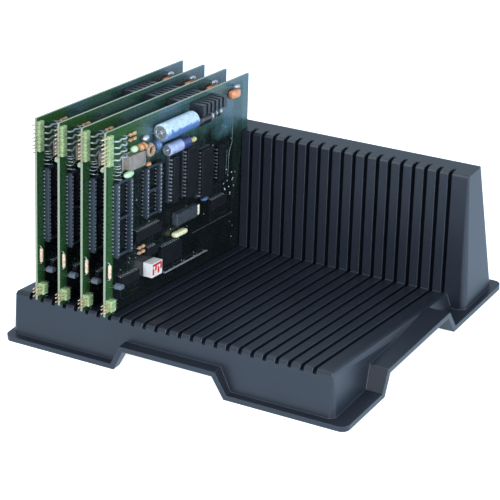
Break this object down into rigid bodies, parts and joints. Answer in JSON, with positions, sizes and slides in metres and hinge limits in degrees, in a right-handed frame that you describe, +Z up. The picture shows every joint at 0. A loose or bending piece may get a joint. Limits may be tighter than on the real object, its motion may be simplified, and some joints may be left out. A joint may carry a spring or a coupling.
{
  "type": "pcb magazine rack",
  "caption": "Black moulded L-shaped rack whose grooved deck and tower hold printed circuit boards upright, loaded with a few populated green boards.",
  "frame": {"origin": "centre of the whole part's footprint, on the surface it stands on", "axes": "+X along the row of slots, +Y towards the tower, +Z up"},
  "size_m": [0.269, 0.2194, 0.1585],
  "materials": {
    "rack_plastic": "fine matt black, static dissipative",
    "laminate": "green solder resist over glass laminate",
    "chip": "moulded black",
    "header": "yellow green housing",
    "gold_pin": "gold flash",
    "blue_sleeve": "light blue shrink sleeve",
    "pale_sleeve": "pale blue shrink sleeve",
    "resistor": "tan lacquer",
    "switch_white": "white housing",
    "steel_can": "drawn steel can",
    "heat_sink": "black anodised",
    "yellow_case": "yellow film capacitor case"
  },
  "bodies": {
    "rack": {"rack_body": "rack_plastic"},
    "board_1": {"laminate_1": "laminate", "processor_1": "chip", "memory_chips_1": "chip", "logic_chips_1": "chip", "upper_header_1": "header", "lower_header_1": "header", "header_pins_1": "gold_pin", "main_capacitor_1": "blue_sleeve", "small_capacitors_1": "pale_sleeve", "resistors_1": "resistor", "dip_switch_1": "switch_white", "crystal_can_1": "steel_can", "regulator_1": "heat_sink", "film_capacitors_1": "yellow_case"},
    "board_2": {"laminate_2": "laminate", "processor_2": "chip", "memory_chips_2": "chip", "logic_chips_2": "chip", "upper_header_2": "header", "lower_header_2": "header", "header_pins_2": "gold_pin", "main_capacitor_2": "blue_sleeve", "small_capacitors_2": "pale_sleeve", "resistors_2": "resistor", "dip_switch_2": "switch_white", "crystal_can_2": "steel_can", "regulator_2": "heat_sink", "film_capacitors_2": "yellow_case"},
    "board_3": {"laminate_3": "laminate", "processor_3": "chip", "memory_chips_3": "chip", "logic_chips_3": "chip", "upper_header_3": "header", "lower_header_3": "header", "header_pins_3": "gold_pin", "main_capacitor_3": "blue_sleeve", "small_capacitors_3": "pale_sleeve", "resistors_3": "resistor", "dip_switch_3": "switch_white", "crystal_can_3": "steel_can", "regulator_3": "heat_sink", "film_capacitors_3": "yellow_case"},
    "board_4": {"laminate_4": "laminate", "processor_4": "chip", "memory_chips_4": "chip", "logic_chips_4": "chip", "upper_header_4": "header", "lower_header_4": "header", "header_pins_4": "gold_pin", "main_capacitor_4": "blue_sleeve", "small_capacitors_4": "pale_sleeve", "resistors_4": "resistor", "dip_switch_4": "switch_white", "crystal_can_4": "steel_can", "regulator_4": "heat_sink", "film_capacitors_4": "yellow_case"}
  },
  "joints": [
    {"name": "board_1_slide", "type": "slide", "parent": "rack", "child": "board_1", "axis": [0, -0.9914, 0.1305], "range_m": [0, 0.19]},
    {"name": "board_2_slide", "type": "slide", "parent": "rack", "child": "board_2", "axis": [0, -0.9914, 0.1305], "range_m": [0, 0.19]},
    {"name": "board_3_slide", "type": "slide", "parent": "rack", "child": "board_3", "axis": [0, -0.9914, 0.1305], "range_m": [0, 0.19]},
    {"name": "board_4_slide", "type": "slide", "parent": "rack", "child": "board_4", "axis": [0, -0.9914, 0.1305], "range_m": [0, 0.19]}
  ]
}
